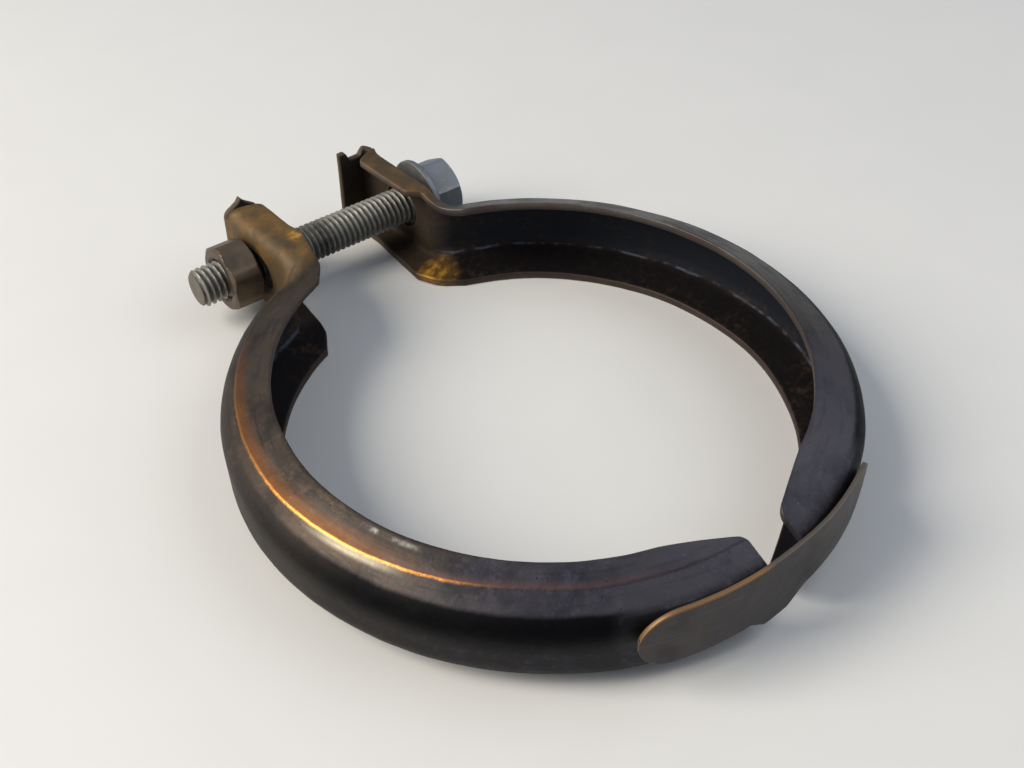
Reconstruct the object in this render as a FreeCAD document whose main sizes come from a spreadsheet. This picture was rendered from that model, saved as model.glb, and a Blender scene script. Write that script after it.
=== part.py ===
import FreeCAD, Part
import math
import os
import Sketcher

# Exhaust clamp: two pressed V-section half shells, a spring strap as their hinge, a flange screw and its nut.
# Millimetres. The origin is on the ring's axis at the lower free edges. Z runs up that axis, Y runs from the
# strap to the ears, and X runs along the screw from its tip to its head.

doc = FreeCAD.newDocument("ExhaustClamp")

# Driving dimensions
dimensions = [
    ("free_edge_radius", 47.0, "radius of the circle inside the flanges' free edges"),
    ("crown_radius", 56.5, "outer radius of the ring"),
    ("band_height", 19.3, "height of the shells, from free edge to free edge"),
    ("sheet", 1.5, "thickness of the pressed steel"),
    ("crown_width", 9.3, "height of the crown between the corners that its shoulders round off"),
    ("shoulder_radius", 3.6, "outside radius between flange and crown"),
    ("hinge_gap", 7.8, "gap between the shells' ends under the strap"),
    ("end_trim_angle", 20.5, "where the free edge starts to run out to the hinge end, degrees from -Y"),
    ("end_trim_depth", 3.4, "how much narrower the flange is at the hinge end"),
    ("end_corner", 1.3, "corner radius of the flange at the hinge end"),
    ("rear_ear_face", 19.4, "distance of the rear ear's outer face from the clamp's middle plane"),
    ("front_ear_face", 18.0, "the same at the front ear, which use has bent inwards"),
    ("bend_radius", 3.5, "outside radius where the ring turns into the ear"),
    ("ear_slope", 4.0, "fall of the ear's side walls, degrees"),
    ("ear_shoulder", 2.4, "outside radius along the ear's corners"),
    ("wall_width", 6.3, "width of the side walls at the ear's end"),
    ("wall_foot_width", 6.9, "width of the side walls at the ear's foot"),
    ("foot_inset", 4.0, "how far inside the crown's radius the ear's foot lies along Y"),
    ("corner_reach", 13.8, "distance of the flanges' corner from the middle plane"),
    ("corner_rise", 0.7, "how far beyond the free edges' radius that corner lies along Y"),
    ("ear_length", 17.5, "length of the side walls beyond the crown's radius"),
    ("wall_end_radius", 4.0, "rounding of the side walls at their end"),
    ("lip_reach", 4.0, "distance of the end lip's outer face from the end of the side walls"),
    ("lip_bend", 2.5, "outside bend radius of the end lip"),
    ("lip_length", 8.1, "length of the lip from the ear's outer face"),
    ("lip_margin", 0.3, "how much the lip stays inside the shell's height at each side"),
    ("horn_width", 1.4, "width of the horn that the lip keeps beside its relief notch"),
    ("notch_depth", 2.0, "depth of the relief notch at the lip's bend"),
    ("notch_width", 5.0, "width of that notch"),
    ("notch_corner", 1.0, "corner radius in that notch"),
    ("shoulder_peak", 0.5, "how far the ear's shoulder stays below the lip's edge beside the notch"),
    ("shoulder_fall", 40.0, "fall of that shoulder towards the ear's outer face, degrees"),
    ("slot_inset", 7.8, "distance from the end of the side walls back to the centre of the ear's slot"),
    ("slot_length", 13.5, "length of that slot"),
    ("slot_width", 9.2, "width of that slot"),
    ("strap_sheet", 0.8, "thickness of the hinge strap"),
    ("strap_gap", 0.4, "gap between the strap and the crown that it bears on"),
    ("strap_reach", 27.2, "distance of the strap's front end from the middle plane"),
    ("strap_rear_reach", 26.0, "the same at its rear end"),
    ("strap_low", 6.6, "height of the strap's lower edge"),
    ("strap_width", 12.3, "width of the strap"),
    ("strap_corner", 6.0, "corner radius of the strap's ends"),
    ("strap_lift", 3.0, "how far the free wing is sprung off the crown, degrees about the pivot"),
    ("tab_depth", 2.3, "depth of the tab on the strap's lower edge"),
    ("tab_start", 9.0, "start of the tab, on the front side of the middle plane"),
    ("tab_flat", 5.3, "length of the tab's flat"),
    ("tab_ramp", 3.4, "run of the tab's front slope"),
    ("tab_finish", 3.6, "end of the tab, on the rear side of the middle plane"),
    ("thread_diameter", 8.0, "outside diameter of the screw's thread"),
    ("screw_length", 52.6, "length of the screw under its head"),
    ("tip_chamfer", 0.7, "chamfer at the screw's tip"),
    ("screw_shift", 1.75, "how far the screw's seat lies from the slot's centre towards the ring"),
    ("screw_gap", 2.4, "how far the loose screw's seat stands off the rear ear"),
    ("screw_skew", 3.6, "lean of the screw in its slots, degrees"),
    ("flange_diameter", 17.0, "diameter of the screw's flange"),
    ("flange_rim", 1.2, "thickness of that flange at its rim"),
    ("flange_cone", 24.0, "rise of the flange towards the hexagon, degrees"),
    ("hex_across", 13.0, "width across flats of head and nut"),
    ("head_height", 8.1, "height of the screw's head with its flange"),
    ("head_dish", 0.6, "depth of the dish in the head's top"),
    ("dish_diameter", 8.6, "diameter of that dish"),
    ("chamfer_circle", 12.3, "diameter where the chamfers of head and nut start"),
    ("chamfer_slope", 30.0, "fall of those chamfers, degrees"),
    ("nut_height", 6.5, "height of the nut"),
    ("nut_stand", 0.55, "gap between the nut's nearest edge and the front ear"),
    ("running_gap", 0.05, "radial clearance between screw and nut"),
]
sizes = doc.addObject("Spreadsheet::Sheet", "Sizes")
for row, (alias, value, meaning) in enumerate(dimensions, 1):
    sizes.set("A%d" % row, alias.replace("_", " "))
    sizes.set("B%d" % row, str(value))
    sizes.set("C%d" % row, meaning)
    sizes.setAlias("B%d" % row, alias)
doc.recompute()


def dim(alias):
    """The name by which an expression reads one driving dimension."""
    return "Sizes." + alias


def number(expression):
    """The present value of an expression."""
    value = sizes.evalExpression(expression)
    return float(getattr(value, "Value", value))


# Values worked out from the driving dimensions
height = dim("band_height")
middle = "(%s / 2)" % height
sheet = dim("sheet")
crown = dim("crown_radius")
free_edge = dim("free_edge_radius")
bend = dim("bend_radius")
shoulder = dim("shoulder_radius")
bend_from_axis = "(%s + %s)" % (crown, bend)
blank_reach = "(%s - %s)" % (bend_from_axis, free_edge)
flange_depth = "(%s - %s)" % (crown, free_edge)
flange_slope = "(atan((%s - %s) / 2 / %s) / 1 deg)" % (height, dim("crown_width"), flange_depth)
wall_foot = "(%s - %s)" % (crown, dim("foot_inset"))
wall_end = "(%s + %s)" % (crown, dim("ear_length"))
lip_face = "(%s + %s)" % (wall_end, dim("lip_reach"))
slot_place = "(%s - %s)" % (wall_end, dim("slot_inset"))
screw_place = "(%s - %s)" % (slot_place, dim("screw_shift"))
clear_of_part = 2.0


class Ear:
    """The places that follow from how far an ear's outer face stands from the middle plane."""

    def __init__(self, face):
        self.face = face
        self.bend_x = "(%s + %s)" % (face, bend)
        self.bend_y = "sqrt(%s ^ 2 - %s ^ 2)" % (bend_from_axis, self.bend_x)
        self.angle = "asin(%s / %s)" % (self.bend_x, bend_from_axis)


def new_body(label):
    body = doc.addObject("PartDesign::Body", label)
    body.Label = label
    return body


def new_sketch(body, name, plane, offset=None, turn=None):
    """A sketch on one of the body's own origin planes; offset and turn are expressions in that plane's frame."""
    face = [f for f in body.Origin.OriginFeatures if f.Role == plane][0]
    sketch = body.newObject("Sketcher::SketchObject", name)
    sketch.AttachmentSupport = [(face, "")]
    sketch.MapMode = "FlatFace"
    for axis, expression in (offset or {}).items():
        sketch.setExpression("AttachmentOffset.Base." + axis, expression)
    if turn:
        sketch.setExpression("AttachmentOffset.Rotation.Axis.x", "0")
        sketch.setExpression("AttachmentOffset.Rotation.Axis.y", "1")
        sketch.setExpression("AttachmentOffset.Rotation.Axis.z", "0")
        sketch.setExpression("AttachmentOffset.Rotation.Angle", turn)
    return sketch


def place_point(sketch, geometry, vertex, spot):
    """Ties a point of the sketch to a pair of expressions, measured from the sketch's origin."""
    for kind, axis, expression in (("DistanceX", -2, spot[0]), ("DistanceY", -1, spot[1])):
        value = number(expression)
        if abs(value) < 1e-9:
            sketch.addConstraint(Sketcher.Constraint("PointOnObject", geometry, vertex, axis))
            continue
        if value > 0:
            index = sketch.addConstraint(Sketcher.Constraint(kind, -1, 1, geometry, vertex, value))
            sketch.setExpression("Constraints[%d]" % index, expression)
        else:
            index = sketch.addConstraint(Sketcher.Constraint(kind, geometry, vertex, -1, 1, -value))
            sketch.setExpression("Constraints[%d]" % index, "-(%s)" % expression)


def draw_outline(sketch, corners):
    """A closed outline of straight runs. A corner is (x, y) or (x, y, radius), each an expression."""
    points = [FreeCAD.Vector(number(c[0]), number(c[1]), 0) for c in corners]
    count = len(points)
    trims = []
    for i, corner in enumerate(corners):
        before = (points[i - 1] - points[i]).normalize()
        after = (points[(i + 1) % count] - points[i]).normalize()
        half = before.getAngle(after) / 2
        radius = number(corner[2]) if len(corner) > 2 else 0.0
        cut = radius / math.tan(half)
        centre = points[i] + (before + after).normalize() * (radius / math.sin(half))
        trims.append((radius, points[i] + before * cut, points[i] + after * cut, centre))
    lines = []
    for i in range(count):
        run = Part.LineSegment(trims[i][2], trims[(i + 1) % count][1])
        lines.append(sketch.addGeometry(run, False))
    for i, corner in enumerate(corners):
        radius, start, end, centre = trims[i]
        before, after = lines[i - 1], lines[i]
        if not radius:
            sketch.addConstraint(Sketcher.Constraint("Coincident", before, 2, after, 1))
            place_point(sketch, after, 1, corner)
            continue
        circle = Part.Circle(centre, FreeCAD.Vector(0, 0, 1), radius)
        first, last = circle.parameter(start), circle.parameter(end)
        leftward = (start - centre).cross(end - centre).z > 0
        if leftward:
            arc = sketch.addGeometry(Part.ArcOfCircle(circle, first, last), False)
        else:
            arc = sketch.addGeometry(Part.ArcOfCircle(circle, last, first), False)
        sketch.addConstraint(Sketcher.Constraint("Tangent", before, 2, arc, 1 if leftward else 2))
        sketch.addConstraint(Sketcher.Constraint("Tangent", arc, 2 if leftward else 1, after, 1))
        index = sketch.addConstraint(Sketcher.Constraint("Radius", arc, radius))
        sketch.setExpression("Constraints[%d]" % index, corner[2])
        apex = sketch.addGeometry(Part.Point(points[i]), True)
        place_point(sketch, apex, 1, corner)
        sketch.addConstraint(Sketcher.Constraint("PointOnObject", apex, 1, before))
        sketch.addConstraint(Sketcher.Constraint("PointOnObject", apex, 1, after))


def draw_circle(sketch, spot, radius):
    """A circle, its centre and radius given as expressions."""
    centre = FreeCAD.Vector(number(spot[0]), number(spot[1]), 0)
    circle = sketch.addGeometry(Part.Circle(centre, FreeCAD.Vector(0, 0, 1), number(radius)), False)
    place_point(sketch, circle, 3, spot)
    index = sketch.addConstraint(Sketcher.Constraint("Radius", circle, number(radius)))
    sketch.setExpression("Constraints[%d]" % index, radius)


def channel_corners(opening, outside, slope, radius):
    """The V-section of the sheet: open at one side, its crown at the other, both flanges falling to the crown.

    opening and outside are the sideways places of the free edges and of the crown's outer face.
    """
    inward = "1" if number(opening) > number(outside) else "-1"
    inside = "(%s + %s * %s)" % (outside, inward, sheet)
    drop = "(abs(%s - %s) * tan(%s))" % (opening, outside, slope)
    upright = "(%s / cos(%s))" % (sheet, slope)
    inner_drop = "(%s + abs(%s - %s) * tan(%s))" % (upright, opening, inside, slope)
    return [
        (opening, height),
        (outside, "%s - %s" % (height, drop), radius),
        (outside, drop, radius),
        (opening, "0"),
        (opening, upright),
        (inside, inner_drop),
        (inside, "%s - %s" % (height, inner_drop)),
        (opening, "%s - %s" % (height, upright)),
    ]


def finish_feature(body, feature):
    body.Tip = feature
    doc.recompute()
    return feature


def add_pad(body, sketch, name, length, back=False):
    pad = body.newObject("PartDesign::Pad", name)
    pad.Profile = sketch
    pad.Reversed = back
    pad.setExpression("Length", length)
    return finish_feature(body, pad)


def add_pocket(body, sketch, name, length, back=False):
    """A cut that must remove something from the body."""
    before = body.Shape.Volume
    pocket = body.newObject("PartDesign::Pocket", name)
    pocket.Profile = sketch
    pocket.Reversed = back
    pocket.setExpression("Length", length)
    finish_feature(body, pocket)
    if body.Shape.Volume > before - 1e-3:
        raise RuntimeError(name + " cuts nothing")
    return pocket


# Half shell: one pressing, used twice

def make_ring(body, ear):
    """The V-section swept round the axis, from the middle plane under the strap to the ear's bend."""
    section = new_sketch(body, "RingSection", "XZ_Plane")
    draw_outline(section, channel_corners(free_edge, crown, flange_slope, shoulder))
    ring = body.newObject("PartDesign::Revolution", "Ring")
    ring.Profile = section
    ring.ReferenceAxis = (section, ["V_Axis"])
    ring.Type = "TwoAngles"
    ring.setExpression("Angle", "90 deg - " + ear.angle)
    ring.Angle2 = 90
    finish_feature(body, ring)


def make_bend(body, ear, stations=5):
    """The pressing's form changes from the open V of the ring to the ear's square channel round one bend."""
    sections = []
    for step in range(stations):
        share = "%d / %d" % (step, stations - 1)
        turn = "-(90 deg + %s + (90 deg - %s) * %s)" % (ear.angle, ear.angle, share)
        slope = "(%s + (%s - %s) * %s)" % (flange_slope, dim("ear_slope"), flange_slope, share)
        radius = "(%s + (%s - %s) * %s)" % (shoulder, dim("ear_shoulder"), shoulder, share)
        offset = {"x": ear.bend_x, "z": "-" + ear.bend_y}
        station = new_sketch(body, "BendSection%d" % (step + 1), "XZ_Plane", offset, turn)
        draw_outline(station, channel_corners(blank_reach, bend, slope, radius))
        sections.append(station)
    doc.recompute()
    loft = body.newObject("PartDesign::AdditiveLoft", "Bend")
    loft.Profile = sections[0]
    loft.Sections = sections[1:]
    loft.Ruled = False
    finish_feature(body, loft)
    return sections[-1]


def make_ear(body, ear, last_section):
    """The ear's straight channel, its trimmed side walls, and the lip turned over at its end."""
    trim_over = "%s + %s" % (wall_end, clear_of_part)
    add_pad(body, last_section, "EarChannel", "%s - %s" % (trim_over, ear.bend_y))

    trim = new_sketch(body, "WallTrim", "XY_Plane", {"z": "-%s" % clear_of_part})
    far_x = "%s + %s" % (ear.face, clear_of_part)
    far_y = "%s + %s" % (trim_over, clear_of_part)
    near_x = "%s - %s" % (ear.face, blank_reach)
    ring_end = ("%s * sin(%s)" % (free_edge, ear.angle), "%s * cos(%s)" % (free_edge, ear.angle))
    draw_outline(trim, [
        ring_end,
        (dim("corner_reach"), "%s + %s" % (free_edge, dim("corner_rise"))),
        ("%s - %s" % (ear.face, dim("wall_foot_width")), wall_foot),
        ("%s - %s" % (ear.face, dim("wall_width")), wall_end, dim("wall_end_radius")),
        (far_x, wall_end),
        (far_x, far_y),
        (near_x, far_y),
        (near_x, ring_end[1]),
    ])
    add_pocket(body, trim, "WallTrimCut", "%s + 2 * %s" % (height, clear_of_part), back=True)

    lip_start = "%s - %s" % (wall_end, sheet)
    inner_face = "%s - %s" % (ear.face, sheet)
    inner_lip = "%s - %s" % (lip_face, sheet)
    lip_edge = "%s - %s" % (ear.face, dim("lip_length"))
    lip = new_sketch(body, "LipProfile", "XY_Plane", {"z": dim("lip_margin")})
    draw_outline(lip, [
        (ear.face, lip_start),
        (ear.face, lip_face, dim("lip_bend")),
        (lip_edge, lip_face),
        (lip_edge, inner_lip),
        (inner_face, inner_lip, "%s - %s" % (dim("lip_bend"), sheet)),
        (inner_face, lip_start),
    ])
    add_pad(body, lip, "Lip", "%s - 2 * %s" % (height, dim("lip_margin")))


def make_notches(body, ear):
    """Relief notches at both ends of the lip's bend, and the ear's shoulder rounded off beside them."""
    horn = "%s - %s + %s" % (ear.face, dim("lip_length"), dim("horn_width"))
    peak = "%s + %s" % (horn, dim("notch_width"))
    slant = "(%s / 2)" % dim("notch_depth")
    outside = "%s + %s" % (ear.face, clear_of_part)
    for side, edge, outward in (
        ("Upper", "%s - %s" % (height, dim("lip_margin")), "+"),
        ("Lower", dim("lip_margin"), "-"),
    ):
        inward = "-" if outward == "+" else "+"
        beyond = "%s %s %s" % (edge, outward, clear_of_part)
        floor = "%s %s %s" % (edge, inward, dim("notch_depth"))
        top = "%s %s %s" % (edge, inward, dim("shoulder_peak"))
        fall = "(%s - (%s)) * tan(%s)" % (outside, peak, dim("shoulder_fall"))
        notch = new_sketch(body, side + "Notch", "XZ_Plane", {"z": "-(%s - %s)" % (wall_end, dim("sheet"))})
        draw_outline(notch, [
            (horn, beyond),
            (horn, edge),
            ("%s + %s" % (horn, slant), floor, dim("notch_corner")),
            ("%s - %s" % (peak, slant), floor, dim("notch_corner")),
            (peak, top),
            (outside, "%s %s %s" % (top, inward, fall)),
            (outside, beyond),
        ])
        depth = "%s - %s + %s + %s" % (lip_face, wall_end, dim("sheet"), clear_of_part)
        add_pocket(body, notch, side + "NotchCut", depth)


def make_slot(body, ear):
    """The slot that lets the screw lean and shift as the halves swing."""
    slot = new_sketch(body, "ScrewSlot", "YZ_Plane")
    radius = number(dim("slot_width")) / 2
    half = (number(dim("slot_length")) - number(dim("slot_width"))) / 2
    place, level = number(slot_place), number(middle)
    centres = [FreeCAD.Vector(place - half, level, 0), FreeCAD.Vector(place + half, level, 0)]
    up = FreeCAD.Vector(0, 0, 1)
    quarter = math.pi / 2
    left = slot.addGeometry(Part.ArcOfCircle(Part.Circle(centres[0], up, radius), quarter, 3 * quarter), False)
    right = slot.addGeometry(Part.ArcOfCircle(Part.Circle(centres[1], up, radius), -quarter, quarter), False)
    rise = FreeCAD.Vector(0, radius, 0)
    top = slot.addGeometry(Part.LineSegment(centres[1] + rise, centres[0] + rise), False)
    bottom = slot.addGeometry(Part.LineSegment(centres[0] - rise, centres[1] - rise), False)
    for joint in ((right, 2, top, 1), (top, 2, left, 1), (left, 2, bottom, 1), (bottom, 2, right, 1)):
        slot.addConstraint(Sketcher.Constraint("Tangent", *joint))
    index = slot.addConstraint(Sketcher.Constraint("Radius", left, radius))
    slot.setExpression("Constraints[%d]" % index, dim("slot_width") + " / 2")
    spread = "(%s - %s) / 2" % (dim("slot_length"), dim("slot_width"))
    place_point(slot, left, 3, ("%s - %s" % (slot_place, spread), middle))
    place_point(slot, right, 3, ("%s + %s" % (slot_place, spread), middle))
    add_pocket(body, slot, "ScrewSlotCut", "%s + %s" % (ear.face, clear_of_part), back=True)


def make_hinge_end(body):
    """The flanges run out towards the strap, with a rounded corner at the end."""
    cut = new_sketch(body, "HingeEndTrim", "XY_Plane", {"z": "-%s" % clear_of_part})
    half_gap = dim("hinge_gap") + " / 2"
    run_out = "(%s + %s)" % (free_edge, dim("end_trim_depth"))
    beyond = "-(%s + %s)" % (crown, clear_of_part)
    draw_outline(cut, [
        ("-%s" % clear_of_part, "-%s * cos(%s)" % (free_edge, dim("end_trim_angle"))),
        ("%s * sin(%s)" % (free_edge, dim("end_trim_angle")), "-%s * cos(%s)" % (free_edge, dim("end_trim_angle"))),
        (half_gap, "-sqrt(%s ^ 2 - (%s) ^ 2)" % (run_out, half_gap), dim("end_corner")),
        (half_gap, beyond),
        ("-%s" % clear_of_part, beyond),
    ])
    add_pocket(body, cut, "HingeEndCut", "%s + 2 * %s" % (height, clear_of_part), back=True)


def make_shell(label, ear_face):
    body = new_body(label)
    ear = Ear(ear_face)
    make_ring(body, ear)
    last_section = make_bend(body, ear)
    make_ear(body, ear, last_section)
    make_notches(body, ear)
    make_slot(body, ear)
    make_hinge_end(body)
    return body


rear_shell = make_shell("rear_shell", dim("rear_ear_face"))
rear_shell.Placement = FreeCAD.Placement()

# The front shell is the same pressing, turned over about the Y direction
front_shell = make_shell("front_shell", dim("front_ear_face"))
front_shell.Placement = FreeCAD.Placement(FreeCAD.Vector(0, 0, 0), FreeCAD.Rotation(FreeCAD.Vector(0, 1, 0), 180))
front_shell.setExpression("Placement.Base.z", height)


# Hinge strap

def make_strap():
    """A spring strip round the hinge ends, sprung open so that its front wing stands off the crown."""
    body = new_body("hinge_strap")
    plan = new_sketch(body, "StrapPlan", "XY_Plane")
    inside = "(%s + %s)" % (crown, dim("strap_gap"))
    outside = "(%s + %s)" % (inside, dim("strap_sheet"))
    free_span = "(%s / %s - %s * pi / 180)" % (dim("hinge_gap"), inside, dim("strap_lift"))
    free_radius = "(%s / %s)" % (dim("hinge_gap"), free_span)
    beyond = "(%s + %s)" % (dim("strap_reach"), clear_of_part)
    rear_beyond = "(%s + %s)" % (dim("strap_rear_reach"), clear_of_part)
    seat, far = number(inside), number(free_radius)
    half = number(dim("hinge_gap")) / 2

    rear_turn = math.asin(half / seat)
    middle_centre = FreeCAD.Vector(math.sin(rear_turn), -math.cos(rear_turn), 0) * (seat - far)
    front_turn = math.asin((-half - middle_centre.x) / far)
    toward_front = FreeCAD.Vector(math.sin(front_turn), -math.cos(front_turn), 0)
    front_centre = middle_centre + toward_front * (far - seat)

    def arc(centre, radius, first, last):
        circle = Part.Circle(centre, FreeCAD.Vector(0, 0, 1), radius)
        quarter = math.pi / 2
        return plan.addGeometry(Part.ArcOfCircle(circle, first - quarter, last - quarter), False)

    faces = []
    for extra in (0.0, number(dim("strap_sheet"))):
        rear_end = math.asin(number(rear_beyond) / (seat + extra))
        front_end = math.asin((-number(beyond) - front_centre.x) / (seat + extra))
        rear = arc(FreeCAD.Vector(0, 0, 0), seat + extra, rear_turn, rear_end)
        free = arc(middle_centre, far + extra, front_turn, rear_turn)
        front = arc(front_centre, seat + extra, front_end, front_turn)
        plan.addConstraint(Sketcher.Constraint("Coincident", rear, 3, -1, 1))
        plan.addConstraint(Sketcher.Constraint("Tangent", rear, 1, free, 2))
        plan.addConstraint(Sketcher.Constraint("Tangent", free, 1, front, 2))
        faces.append((rear, free, front))
    inner, outer = faces
    for face, radius in ((inner[0], inside), (inner[1], free_radius), (inner[2], inside), (outer[0], outside)):
        index = plan.addConstraint(Sketcher.Constraint("Radius", face, number(radius)))
        plan.setExpression("Constraints[%d]" % index, radius)
    for own, other in ((inner[1], outer[1]), (inner[2], outer[2])):
        plan.addConstraint(Sketcher.Constraint("Coincident", own, 3, other, 3))
    half_gap = dim("hinge_gap") + " / 2"
    for first, second, expression in (
        ((-1, 1), (inner[0], 1), half_gap),
        ((inner[1], 1), (-1, 1), half_gap),
        ((-1, 1), (inner[0], 2), rear_beyond),
        ((inner[2], 1), (-1, 1), beyond),
    ):
        index = plan.addConstraint(Sketcher.Constraint("DistanceX", *first, *second, number(expression)))
        plan.setExpression("Constraints[%d]" % index, expression)
    for place, vertex in ((0, 2), (2, 1)):
        ends = [plan.getPoint(face[place], vertex) for face in (inner, outer)]
        line = plan.addGeometry(Part.LineSegment(*ends), False)
        plan.addConstraint(Sketcher.Constraint("Coincident", inner[place], vertex, line, 1))
        plan.addConstraint(Sketcher.Constraint("Coincident", outer[place], vertex, line, 2))
        plan.addConstraint(Sketcher.Constraint("Vertical", line))
    add_pad(body, plan, "StrapBand", height)

    # What stays of the band, seen from the hinge side: rounded ends and the tab on the lower edge
    low, front, rear = dim("strap_low"), "-" + dim("strap_reach"), dim("strap_rear_reach")
    corner = dim("strap_corner")
    top = "%s + %s" % (low, dim("strap_width"))
    tab_low = "%s - %s" % (low, dim("tab_depth"))
    tab_x = "-%s + %s" % (dim("tab_start"), dim("tab_ramp"))
    shape = new_sketch(body, "StrapOutline", "XZ_Plane")
    draw_outline(shape, [
        (rear, low, corner),
        (rear, top, corner),
        (front, top, corner),
        (front, low, corner),
        ("-" + dim("tab_start"), low),
        (tab_x, tab_low),
        ("%s + %s" % (tab_x, dim("tab_flat")), tab_low),
        (dim("tab_finish"), low),
    ])
    over = "(%s + %s)" % (beyond, clear_of_part)
    above = "%s + %s" % (height, clear_of_part)
    below = "-%s" % clear_of_part
    draw_outline(shape, [(over, below), (over, above), ("-" + over, above), ("-" + over, below)])
    add_pocket(body, shape, "StrapOutlineCut", "%s + %s" % (outside, clear_of_part), back=True)
    body.Placement = FreeCAD.Placement()
    return body


make_strap()


# Screw and nut, each along its own X axis

def draw_hexagon(sketch):
    """A regular hexagon round the sketch's origin, flats left and right."""
    corner = "(%s / sqrt(3))" % dim("hex_across")
    draw_outline(sketch, [
        ("%s * cos(%d)" % (corner, 30 + 60 * side), "%s * sin(%d)" % (corner, 30 + 60 * side)) for side in range(6)
    ])


def chamfer_hexagon(body, name, end, toward):
    """Turns the hexagon's corners down at one end; toward is the sign that points out of that end."""
    corner = "(%s / sqrt(3) + %s)" % (dim("hex_across"), clear_of_part)
    circle = "(%s / 2)" % dim("chamfer_circle")
    drop = "(%s - %s) * tan(%s)" % (corner, circle, dim("chamfer_slope"))
    sketch = new_sketch(body, name, "XY_Plane")
    outward = "%s%s" % ("+" if toward > 0 else "-", clear_of_part)
    inward = "%s(%s)" % ("-" if toward > 0 else "+", drop)
    draw_outline(sketch, [
        (end, circle),
        ("%s %s" % (end, inward), corner),
        ("%s %s" % (end, outward), corner),
        ("%s %s" % (end, outward), circle),
    ])
    before = body.Shape.Volume
    groove = body.newObject("PartDesign::Groove", name + "Cut")
    groove.Profile = sketch
    groove.ReferenceAxis = (sketch, ["H_Axis"])
    groove.Angle = 360
    finish_feature(body, groove)
    if body.Shape.Volume > before - 1e-3:
        raise RuntimeError(name + " cuts nothing")


def place_on_axis(body, from_seat):
    """Puts a body's X axis on the screw's axis; from_seat is measured from the screw's seat towards its head."""
    skew = dim("screw_skew")
    seat_x = "%s + %s" % (dim("rear_ear_face"), dim("screw_gap"))
    body.Placement = FreeCAD.Placement(FreeCAD.Vector(), FreeCAD.Rotation(FreeCAD.Vector(0, 0, 1), 1))
    body.setExpression("Placement.Rotation.Angle", "-" + skew)
    body.setExpression("Placement.Base.x", "%s + (%s) * cos(%s)" % (seat_x, from_seat, skew))
    body.setExpression("Placement.Base.y", "%s - (%s) * sin(%s)" % (screw_place, from_seat, skew))
    body.setExpression("Placement.Base.z", middle)


def make_screw():
    """Hexagon flange screw, seat at its own origin, head towards +X; the thread's outside is a plain shank."""
    body = new_body("screw")
    shank = dim("thread_diameter") + " / 2"
    chamfer = dim("tip_chamfer")
    rim = dim("flange_diameter") + " / 2"
    root = "(%s / 2 - %s)" % (dim("hex_across"), chamfer)
    cone_top = "%s + (%s - %s) * tan(%s)" % (dim("flange_rim"), rim, root, dim("flange_cone"))
    profile = new_sketch(body, "ScrewProfile", "XY_Plane")
    draw_outline(profile, [
        ("-" + dim("screw_length"), "0"),
        ("-" + dim("screw_length"), "%s - %s" % (shank, chamfer)),
        ("-%s + %s" % (dim("screw_length"), chamfer), shank),
        ("0", shank),
        ("0", rim),
        (dim("flange_rim"), rim),
        (cone_top, root),
        (cone_top, "0"),
    ])
    turned = body.newObject("PartDesign::Revolution", "ScrewTurned")
    turned.Profile = profile
    turned.ReferenceAxis = (profile, ["H_Axis"])
    turned.Angle = 360
    finish_feature(body, turned)
    hexagon = new_sketch(body, "HeadHexagon", "YZ_Plane", {"z": dim("flange_rim")})
    draw_hexagon(hexagon)
    add_pad(body, hexagon, "Head", "%s - %s" % (dim("head_height"), dim("flange_rim")))
    chamfer_hexagon(body, "HeadChamfer", dim("head_height"), 1)
    dish = new_sketch(body, "HeadDish", "YZ_Plane", {"z": dim("head_height")})
    draw_circle(dish, ("0", "0"), "%s / 2" % dim("dish_diameter"))
    add_pocket(body, dish, "HeadDishCut", dim("head_dish"))
    place_on_axis(body, "0")
    return body


def make_nut():
    """Plain hexagon nut, its bearing face at its own origin, the rest towards the screw's tip."""
    body = new_body("nut")
    hexagon = new_sketch(body, "NutHexagon", "YZ_Plane")
    draw_hexagon(hexagon)
    add_pad(body, hexagon, "NutBlank", dim("nut_height"), back=True)
    chamfer_hexagon(body, "NutOuterChamfer", "-" + dim("nut_height"), -1)
    chamfer_hexagon(body, "NutInnerChamfer", "0", 1)
    bore = new_sketch(body, "NutBore", "YZ_Plane")
    draw_circle(bore, ("0", "0"), "%s / 2 + %s" % (dim("thread_diameter"), dim("running_gap")))
    add_pocket(body, bore, "NutBoreCut", "%s + %s" % (dim("nut_height"), clear_of_part))
    lean = "%s / 2 * tan(%s)" % (dim("hex_across"), dim("screw_skew"))
    ears = "%s + %s" % (dim("front_ear_face"), dim("rear_ear_face"))
    reach = "-(%s + %s + %s + %s)" % (ears, dim("screw_gap"), dim("nut_stand"), lean)
    place_on_axis(body, reach)
    return body


make_screw()
make_nut()

doc.recompute()
for item in doc.Objects:
    if "Invalid" in item.State or "Error" in item.State:
        raise RuntimeError("%s failed: %s" % (item.Label, item.State))

os.makedirs("parts", exist_ok=True)
for body in doc.findObjects("PartDesign::Body"):
    shape = body.Shape
    if shape.isNull() or not shape.isValid() or len(shape.Solids) != 1:
        raise RuntimeError(body.Label + " has no valid single solid")
    shape.exportStep("parts/%s.step" % body.Label)
    print(body.Label, round(shape.Volume, 1), shape.BoundBox)
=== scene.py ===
import math
from types import SimpleNamespace

import bpy
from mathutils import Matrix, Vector, noise


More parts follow.
